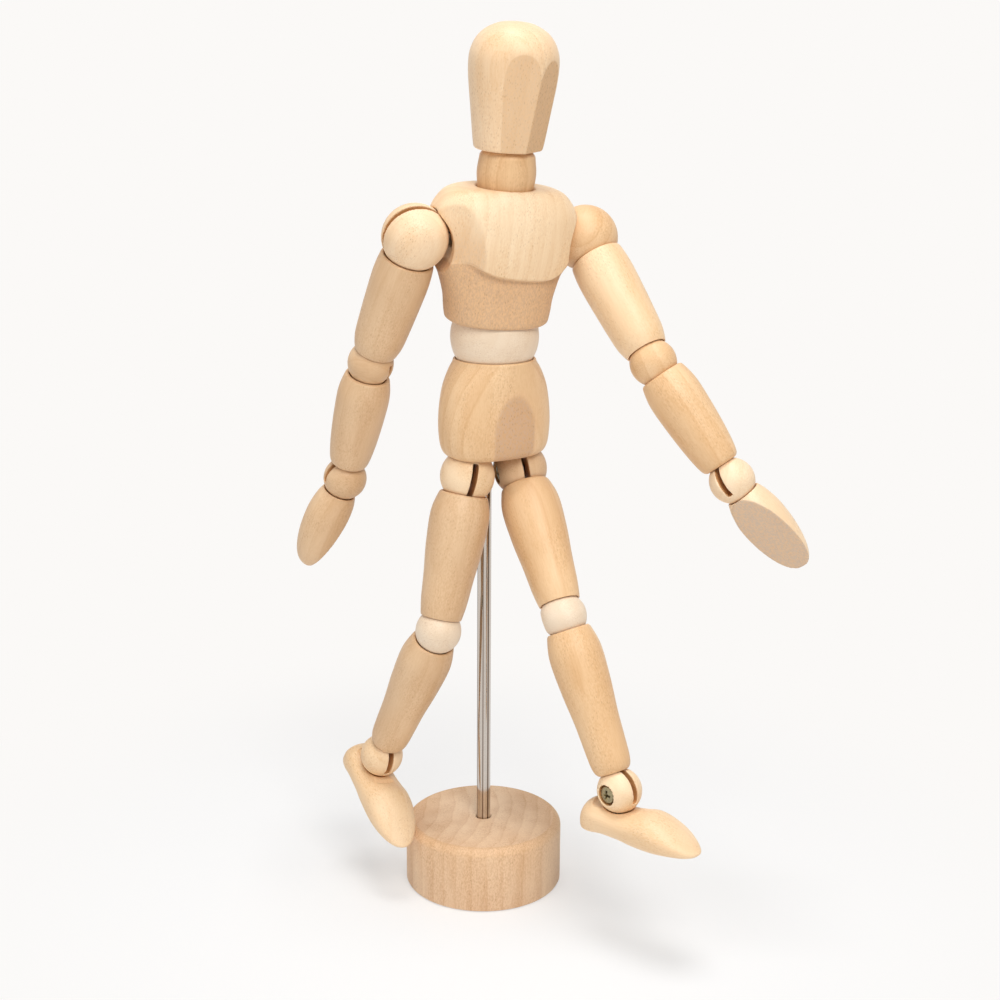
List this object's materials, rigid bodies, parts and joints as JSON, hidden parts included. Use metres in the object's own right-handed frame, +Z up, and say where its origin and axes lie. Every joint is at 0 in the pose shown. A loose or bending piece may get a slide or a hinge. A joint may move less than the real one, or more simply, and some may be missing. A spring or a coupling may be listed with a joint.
{
  "type": "artist drawing mannequin",
  "caption": "Jointed wooden drawing figure on a rod stand, with slotted ball joints held by springs and pivot screws, posed in a stride with arms spread.",
  "frame": {"origin": "centre of the flat underside of the stand base, on the rod axis", "axes": "+Z up along the rod, -Y the way the pelvis faces, +X the left side of the figure"},
  "size_m": [0.1236, 0.1422, 0.2988],
  "materials": {
    "beech": "sanded beech with a thin clear satin coat, fine dark flecks",
    "pale_beech": "paler sanded beech, satin",
    "base_beech": "turned beech with growth rings showing on top, satin",
    "rod_chrome": "bright plated steel rod",
    "screw_nickel": "nickel plated pan head screws, slightly dull",
    "spring_wire": "drawn spring wire"
  },
  "bodies": {
    "stand": {"base": "base_beech", "stand_rod": "rod_chrome"},
    "pelvis": {"pelvis": "beech"},
    "waist_ball": {"waist_ball": "pale_beech"},
    "waist_spring": {"waist_spring": "spring_wire"},
    "chest": {"chest": "beech", "shoulder_spring": "spring_wire"},
    "neck_ball": {"neck_ball": "beech"},
    "neck_spring": {"neck_spring": "spring_wire"},
    "head": {"head": "beech"},
    "right_shoulder_ball": {"right_shoulder_ball": "beech", "right_shoulder_screw": "screw_nickel"},
    "right_upper_arm": {"right_upper_arm": "beech", "right_upper_arm_spring": "spring_wire"},
    "right_elbow_ball": {"right_elbow_ball": "beech", "right_elbow_screw": "screw_nickel"},
    "right_forearm_spring": {"right_forearm_spring": "spring_wire"},
    "right_forearm": {"right_forearm": "beech"},
    "right_wrist_ball": {"right_wrist_ball": "beech", "right_wrist_screw": "screw_nickel", "right_hand_hook": "spring_wire"},
    "right_hand": {"right_hand": "beech"},
    "left_shoulder_ball": {"left_shoulder_ball": "beech", "left_shoulder_screw": "screw_nickel"},
    "left_upper_arm": {"left_upper_arm": "beech", "left_upper_arm_spring": "spring_wire"},
    "left_elbow_ball": {"left_elbow_ball": "beech", "left_elbow_screw": "screw_nickel"},
    "left_forearm_spring": {"left_forearm_spring": "spring_wire"},
    "left_forearm": {"left_forearm": "beech"},
    "left_wrist_ball": {"left_wrist_ball": "beech", "left_wrist_screw": "screw_nickel", "left_hand_hook": "spring_wire"},
    "left_hand": {"left_hand": "beech"},
    "right_hip_spring": {"right_hip_spring": "spring_wire"},
    "right_hip_ball": {"right_hip_ball": "beech", "right_hip_screw": "screw_nickel"},
    "right_thigh": {"right_thigh": "beech", "right_thigh_spring": "spring_wire"},
    "right_knee_ball": {"right_knee_ball": "pale_beech", "right_knee_screw": "screw_nickel"},
    "right_shank_spring": {"right_shank_spring": "spring_wire"},
    "right_shank": {"right_shank": "beech"},
    "right_ankle_ball": {"right_ankle_ball": "beech", "right_ankle_screw": "screw_nickel", "right_foot_hook": "spring_wire"},
    "right_foot": {"right_foot": "beech"},
    "left_hip_spring": {"left_hip_spring": "spring_wire"},
    "left_hip_ball": {"left_hip_ball": "beech", "left_hip_screw": "screw_nickel"},
    "left_thigh": {"left_thigh": "beech", "left_thigh_spring": "spring_wire"},
    "left_knee_ball": {"left_knee_ball": "pale_beech", "left_knee_screw": "screw_nickel"},
    "left_shank_spring": {"left_shank_spring": "spring_wire"},
    "left_shank": {"left_shank": "beech"},
    "left_ankle_ball": {"left_ankle_ball": "beech", "left_ankle_screw": "screw_nickel", "left_foot_hook": "spring_wire"},
    "left_foot": {"left_foot": "beech"}
  },
  "joints": [
    {"name": "right_shoulder_hinge", "type": "hinge", "parent": "right_shoulder_ball", "child": "right_upper_arm", "pos_m": [-0.02827, -0.00405, 0.23252], "axis": [0.1805, 0.8956, 0.4066], "range_deg": [-3, 155]},
    {"name": "left_shoulder_hinge", "type": "hinge", "parent": "left_shoulder_ball", "child": "left_upper_arm", "pos_m": [0.02951, -0.01471, 0.23036], "axis": [0.1242, 0.7935, -0.5957], "range_deg": [-145, 6]},
    {"name": "right_shoulder_swivel", "type": "hinge", "parent": "chest", "child": "right_shoulder_ball", "pos_m": [-0.02827, -0.00405, 0.23252], "axis": [0.9827, -0.1814, -0.0367], "range_deg": [-90, 90], "deforming": ["shoulder_spring"]},
    {"name": "left_shoulder_swivel", "type": "hinge", "parent": "chest", "child": "left_shoulder_ball", "pos_m": [0.02951, -0.01471, 0.23036], "axis": [-0.9827, 0.1814, 0.0367], "range_deg": [-90, 90], "deforming": ["shoulder_spring"]},
    {"name": "right_elbow_hinge", "type": "hinge", "parent": "right_elbow_ball", "child": "right_forearm_spring", "pos_m": [-0.03425, 0.0168, 0.18925], "axis": [-0.7995, -0.5768, -0.1674], "range_deg": [-6.5, 28]},
    {"name": "left_elbow_hinge", "type": "hinge", "parent": "left_elbow_ball", "child": "left_forearm_spring", "pos_m": [0.03716, -0.04417, 0.19272], "axis": [0.4044, -0.6786, 0.6131], "range_deg": [-12, 60]},
    {"name": "right_hip_hinge", "type": "hinge", "parent": "right_hip_ball", "child": "right_thigh", "pos_m": [-0.0103, -0.0062, 0.1525], "axis": [0.9363, -0.2738, -0.2198], "range_deg": [-65, 24]},
    {"name": "left_hip_hinge", "type": "hinge", "parent": "left_hip_ball", "child": "left_thigh", "pos_m": [0.0103, -0.0062, 0.1525], "axis": [0.9544, -0.2575, 0.1513], "range_deg": [-40, 50]},
    {"name": "right_knee_hinge", "type": "hinge", "parent": "right_knee_ball", "child": "right_shank_spring", "pos_m": [-0.02331, -0.00926, 0.1009], "axis": [0.9606, -0.1513, -0.2332], "range_deg": [-29.5, 42]},
    {"name": "left_knee_hinge", "type": "hinge", "parent": "left_knee_ball", "child": "left_shank_spring", "pos_m": [0.00899, -0.03672, 0.10882], "axis": [0.7767, -0.5271, 0.3449], "range_deg": [-10.7, 60]},
    {"name": "right_ankle_hinge", "type": "hinge", "parent": "right_shank", "child": "right_ankle_ball", "pos_m": [-0.03211, 0.01685, 0.04772], "axis": [0.986, -0.0075, -0.1668], "range_deg": [-36.1, 33.9]},
    {"name": "left_ankle_hinge", "type": "hinge", "parent": "left_shank", "child": "left_ankle_ball", "pos_m": [0.01454, -0.06343, 0.0555], "axis": [0.981, 0.1941, 0.0049], "range_deg": [-61.4, 8.6]},
    {"name": "waist_bend", "type": "hinge", "parent": "waist_ball", "child": "waist_spring", "pos_m": [0, -0.0062, 0.199], "axis": [0.9998, 0, -0.0192], "range_deg": [-25, 20], "deforming": ["waist_spring"]},
    {"name": "waist_sway", "type": "hinge", "parent": "pelvis", "child": "waist_ball", "pos_m": [0, -0.0062, 0.199], "axis": [0, 1, 0], "range_deg": [-22, 22], "deforming": ["waist_spring"]},
    {"name": "waist_turn", "type": "hinge", "parent": "waist_spring", "child": "chest", "pos_m": [0, -0.0062, 0.199], "axis": [0.0191, -0.0976, 0.995], "range_deg": [-40, 40], "deforming": ["waist_spring"]},
    {"name": "neck_bend", "type": "hinge", "parent": "neck_ball", "child": "neck_spring", "pos_m": [0.00102, -0.01142, 0.25223], "axis": [0.9829, -0.1824, -0.0262], "range_deg": [-20, 20], "deforming": ["neck_spring"]},
    {"name": "neck_sway", "type": "hinge", "parent": "chest", "child": "neck_ball", "pos_m": [0.00102, -0.01142, 0.25223], "axis": [0.184, 0.9786, 0.0924], "range_deg": [-18, 18], "deforming": ["neck_spring"]},
    {"name": "head_turn", "type": "hinge", "parent": "neck_spring", "child": "head", "pos_m": [0.00102, -0.01142, 0.25223], "axis": [0.0062, -0.1093, 0.994], "range_deg": [-60, 60], "deforming": ["neck_spring"]},
    {"name": "right_wrist_hinge", "type": "hinge", "parent": "right_forearm", "child": "right_wrist_ball", "pos_m": [-0.03682, 0.0328, 0.14641], "axis": [0.1218, 0.9322, 0.3409], "range_deg": [-61, 39]},
    {"name": "left_wrist_hinge", "type": "hinge", "parent": "left_forearm", "child": "left_wrist_ball", "pos_m": [0.05281, -0.06751, 0.15656], "axis": [0.3289, -0.7221, 0.6086], "range_deg": [-59.7, 40.3]},
    {"name": "right_hip_tilt", "type": "hinge", "parent": "right_hip_spring", "child": "right_hip_ball", "pos_m": [-0.0103, -0.0062, 0.1525], "axis": [0.2807, 0.9598, 0], "range_deg": [0, 18], "deforming": ["right_hip_spring"]},
    {"name": "left_hip_tilt", "type": "hinge", "parent": "left_hip_spring", "child": "left_hip_ball", "pos_m": [0.0103, -0.0062, 0.1525], "axis": [-0.2605, -0.9655, 0], "range_deg": [-8, 18], "deforming": ["left_hip_spring"]},
    {"name": "right_hip_swivel", "type": "hinge", "parent": "pelvis", "child": "right_hip_spring", "pos_m": [-0.0103, -0.0062, 0.1525], "axis": [0, 0, 1], "range_deg": [-12, 30], "deforming": ["right_hip_spring"]},
    {"name": "left_hip_swivel", "type": "hinge", "parent": "pelvis", "child": "left_hip_spring", "pos_m": [0.0103, -0.0062, 0.1525], "axis": [0, 0, -1], "range_deg": [-30, 30], "deforming": ["left_hip_spring"]},
    {"name": "left_hand_twist", "type": "hinge", "parent": "left_wrist_ball", "child": "left_hand", "pos_m": [0.05281, -0.06751, 0.15656], "axis": [-0.4852, 0.4237, 0.7649], "range_deg": [-90, 90]},
    {"name": "right_foot_twist", "type": "hinge", "parent": "right_ankle_ball", "child": "right_foot", "pos_m": [-0.03211, 0.01685, 0.04772], "axis": [0.1453, -0.4532, 0.8795], "range_deg": [-60, 3]},
    {"name": "left_elbow_twist", "type": "hinge", "parent": "left_upper_arm", "child": "left_elbow_ball", "pos_m": [0.03716, -0.04417, 0.19272], "axis": [-0.1579, 0.6085, 0.7777], "range_deg": [-90, 90], "deforming": ["left_upper_arm_spring"]},
    {"name": "right_knee_twist", "type": "hinge", "parent": "right_thigh", "child": "right_knee_ball", "pos_m": [-0.02331, -0.00926, 0.1009], "axis": [0.2441, 0.0574, 0.9681], "range_deg": [-5, 60], "deforming": ["right_thigh_spring"]},
    {"name": "stand_swivel", "type": "hinge", "parent": "stand", "child": "pelvis", "pos_m": [0, 0, 0.165], "axis": [0, 0, 1], "continuous": true},
    {"name": "right_hand_twist", "type": "hinge", "parent": "right_wrist_ball", "child": "right_hand", "pos_m": [-0.03682, 0.0328, 0.14641], "axis": [0.2443, -0.361, 0.9], "range_deg": [-90, 90]},
    {"name": "left_foot_twist", "type": "hinge", "parent": "left_ankle_ball", "child": "left_foot", "pos_m": [0.01454, -0.06343, 0.0555], "axis": [-0.0072, 0.011, 0.9999], "range_deg": [-60, 60]},
    {"name": "right_elbow_twist", "type": "hinge", "parent": "right_upper_arm", "child": "right_elbow_ball", "pos_m": [-0.03425, 0.0168, 0.18925], "axis": [0.1236, -0.4307, 0.894], "range_deg": [-90, 90], "deforming": ["right_upper_arm_spring"]},
    {"name": "left_knee_twist", "type": "hinge", "parent": "left_thigh", "child": "left_knee_ball", "pos_m": [0.00899, -0.03672, 0.10882], "axis": [0.0246, 0.5726, 0.8195], "range_deg": [-60, 60], "deforming": ["left_thigh_spring"]},
    {"name": "right_forearm_twist", "type": "hinge", "parent": "right_forearm_spring", "child": "right_forearm", "pos_m": [-0.03425, 0.0168, 0.18925], "axis": [0.0562, -0.3494, 0.9353], "range_deg": [-90, 90], "deforming": ["right_forearm_spring"]},
    {"name": "left_forearm_twist", "type": "hinge", "parent": "left_forearm_spring", "child": "left_forearm", "pos_m": [0.03716, -0.04417, 0.19272], "axis": [-0.3417, 0.5097, 0.7895], "range_deg": [-90, 90], "deforming": ["left_forearm_spring"]},
    {"name": "right_shank_twist", "type": "hinge", "parent": "right_shank_spring", "child": "right_shank", "pos_m": [-0.02331, -0.00926, 0.1009], "axis": [0.1469, -0.436, 0.8879], "range_deg": [-60, 3], "deforming": ["right_shank_spring"]},
    {"name": "left_shank_twist", "type": "hinge", "parent": "left_shank_spring", "child": "left_shank", "pos_m": [0.00899, -0.03672, 0.10882], "axis": [-0.0927, 0.446, 0.8902], "range_deg": [-60, 60], "deforming": ["left_shank_spring"]}
  ]
}
